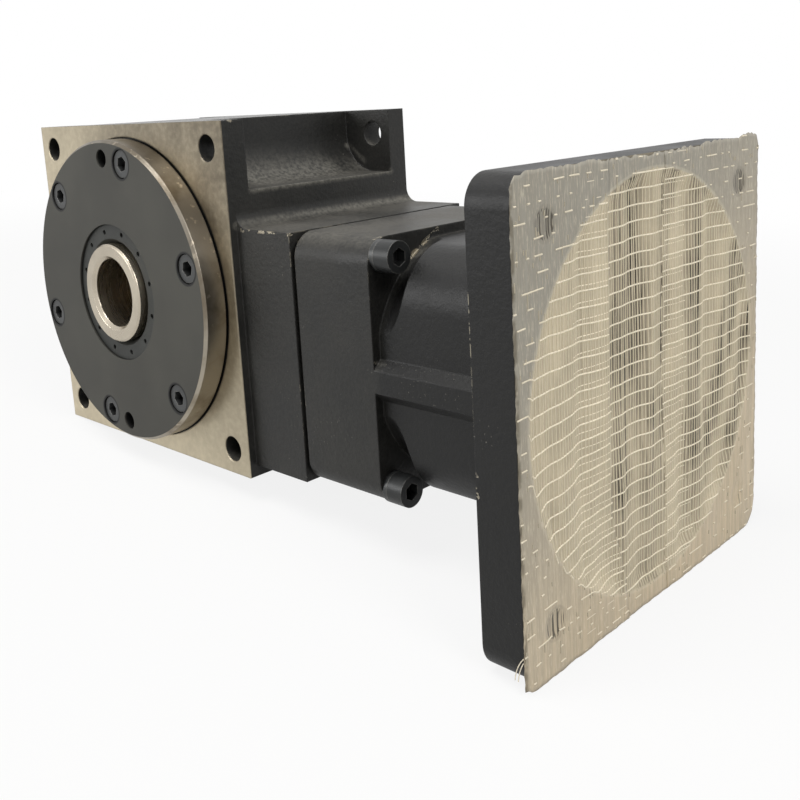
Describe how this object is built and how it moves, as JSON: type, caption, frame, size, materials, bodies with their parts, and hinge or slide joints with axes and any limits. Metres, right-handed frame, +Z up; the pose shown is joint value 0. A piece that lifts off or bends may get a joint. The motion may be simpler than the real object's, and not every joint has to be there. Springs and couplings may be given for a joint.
{
  "type": "right angle gearbox",
  "caption": "Right angle servo gearbox with a square flanged housing, hollow output shaft with round pilot, and an input bell with a square motor plate.",
  "frame": {"origin": "where the output axis meets the machined front face of the housing", "axes": "-Y out of the output face along the hollow shaft, +X towards the motor along the input axis, +Z up as in the picture"},
  "size_m": [0.248, 0.124, 0.1375],
  "materials": {
    "black_paint": "satin black paint over casting",
    "cover_grey": "dark grey, fine brushed face",
    "black_screw": "black oxide",
    "plain_steel": "fine turned",
    "gear_steel": "ground tooth flanks",
    "bearing_steel": "ground and polished",
    "cage_steel": "pressed sheet",
    "bronze": "plain bored",
    "black_rubber": "moulded",
    "black_plastic": "moulded"
  },
  "bodies": {
    "case": {"housing": "black_paint", "output_cover": "cover_grey", "cover_screws": "black_screw", "cover_o_ring": "black_rubber", "output_seal": "black_rubber", "front_bearing_cup": "bearing_steel", "rear_cover": "cover_grey", "rear_shim": "plain_steel", "rear_cover_screws": "black_screw", "rear_seal": "black_rubber", "rear_bearing_cup": "bearing_steel", "inner_pinion_bearing_cup": "bearing_steel", "outer_pinion_bearing_cup": "bearing_steel", "cup_spacer": "plain_steel", "bearing_retainer": "black_paint", "bell": "black_paint", "bell_screws": "black_screw", "bell_washers": "black_screw", "access_plug": "black_plastic", "ring_gear": "gear_steel", "ring_gear_pins": "plain_steel", "input_bearing_outer_ring": "bearing_steel", "bell_snap_ring": "black_screw", "input_seal": "black_rubber", "adapter_plate": "black_paint", "plate_screws": "black_screw"},
    "output": {"output_shaft": "plain_steel", "crown_wheel": "gear_steel", "wheel_screws": "black_screw", "front_bearing_cone": "bearing_steel", "rear_bearing_cone": "bearing_steel"},
    "pinion": {"pinion": "gear_steel", "inner_pinion_bearing_cone": "bearing_steel", "outer_pinion_bearing_cone": "bearing_steel", "cone_spacer": "plain_steel", "lock_nut": "black_screw", "planet_carrier": "plain_steel", "planet_pins": "plain_steel"},
    "input": {"input_hub": "plain_steel", "hub_snap_ring": "black_screw", "input_bearing_inner_ring": "bearing_steel", "clamp_ring": "plain_steel", "clamp_screw": "black_screw"},
    "front_rollers": {"front_bearing_rollers": "bearing_steel", "front_bearing_cage": "cage_steel"},
    "rear_rollers": {"rear_bearing_rollers": "bearing_steel", "rear_bearing_cage": "cage_steel"},
    "inner_pinion_rollers": {"inner_pinion_bearing_rollers": "bearing_steel", "inner_pinion_bearing_cage": "cage_steel"},
    "outer_pinion_rollers": {"outer_pinion_bearing_rollers": "bearing_steel", "outer_pinion_bearing_cage": "cage_steel"},
    "input_balls": {"input_bearing_balls": "bearing_steel"},
    "planet_1": {"planet_gear_1": "gear_steel", "planet_bush_1": "bronze"},
    "planet_2": {"planet_gear_2": "gear_steel", "planet_bush_2": "bronze"},
    "planet_3": {"planet_gear_3": "gear_steel", "planet_bush_3": "bronze"}
  },
  "joints": [
    {"name": "output_spin", "type": "hinge", "parent": "case", "child": "output", "pos_m": [0, 0, 0], "axis": [0, 1, 0], "continuous": true},
    {"name": "pinion_spin", "type": "hinge", "parent": "case", "child": "pinion", "pos_m": [0, 0.0435, -0.0155], "axis": [1, 0, 0], "continuous": true},
    {"name": "input_spin", "type": "hinge", "parent": "case", "child": "input", "pos_m": [0, 0.0435, -0.0155], "axis": [1, 0, 0], "continuous": true},
    {"name": "front_roller_spin", "type": "hinge", "parent": "case", "child": "front_rollers", "pos_m": [0, 0, 0], "axis": [0, 1, 0], "continuous": true},
    {"name": "rear_roller_spin", "type": "hinge", "parent": "case", "child": "rear_rollers", "pos_m": [0, 0, 0], "axis": [0, 1, 0], "continuous": true},
    {"name": "inner_pinion_roller_spin", "type": "hinge", "parent": "case", "child": "inner_pinion_rollers", "pos_m": [0, 0.0435, -0.0155], "axis": [1, 0, 0], "continuous": true},
    {"name": "outer_pinion_roller_spin", "type": "hinge", "parent": "case", "child": "outer_pinion_rollers", "pos_m": [0, 0.0435, -0.0155], "axis": [1, 0, 0], "continuous": true},
    {"name": "input_ball_spin", "type": "hinge", "parent": "case", "child": "input_balls", "pos_m": [0, 0.0435, -0.0155], "axis": [1, 0, 0], "continuous": true},
    {"name": "planet_1_spin", "type": "hinge", "parent": "pinion", "child": "planet_1", "pos_m": [0, 0.0435, -0.0335], "axis": [1, 0, 0], "continuous": true},
    {"name": "planet_2_spin", "type": "hinge", "parent": "pinion", "child": "planet_2", "pos_m": [0, 0.05909, -0.0065], "axis": [1, 0, 0], "continuous": true},
    {"name": "planet_3_spin", "type": "hinge", "parent": "pinion", "child": "planet_3", "pos_m": [0, 0.02791, -0.0065], "axis": [1, 0, 0], "continuous": true}
  ],
  "couplings": [
    {"joint": "pinion_spin", "follows": "output_spin", "ratio": 3},
    {"joint": "input_spin", "follows": "output_spin", "ratio": 12},
    {"joint": "front_roller_spin", "follows": "output_spin", "ratio": 0.44548},
    {"joint": "rear_roller_spin", "follows": "output_spin", "ratio": 0.44548},
    {"joint": "inner_pinion_roller_spin", "follows": "output_spin", "ratio": 1.3072},
    {"joint": "outer_pinion_roller_spin", "follows": "output_spin", "ratio": 1.3072},
    {"joint": "input_ball_spin", "follows": "output_spin", "ratio": 5.2533},
    {"joint": "planet_1_spin", "follows": "output_spin", "ratio": -9},
    {"joint": "planet_2_spin", "follows": "output_spin", "ratio": -9},
    {"joint": "planet_3_spin", "follows": "output_spin", "ratio": -9}
  ]
}
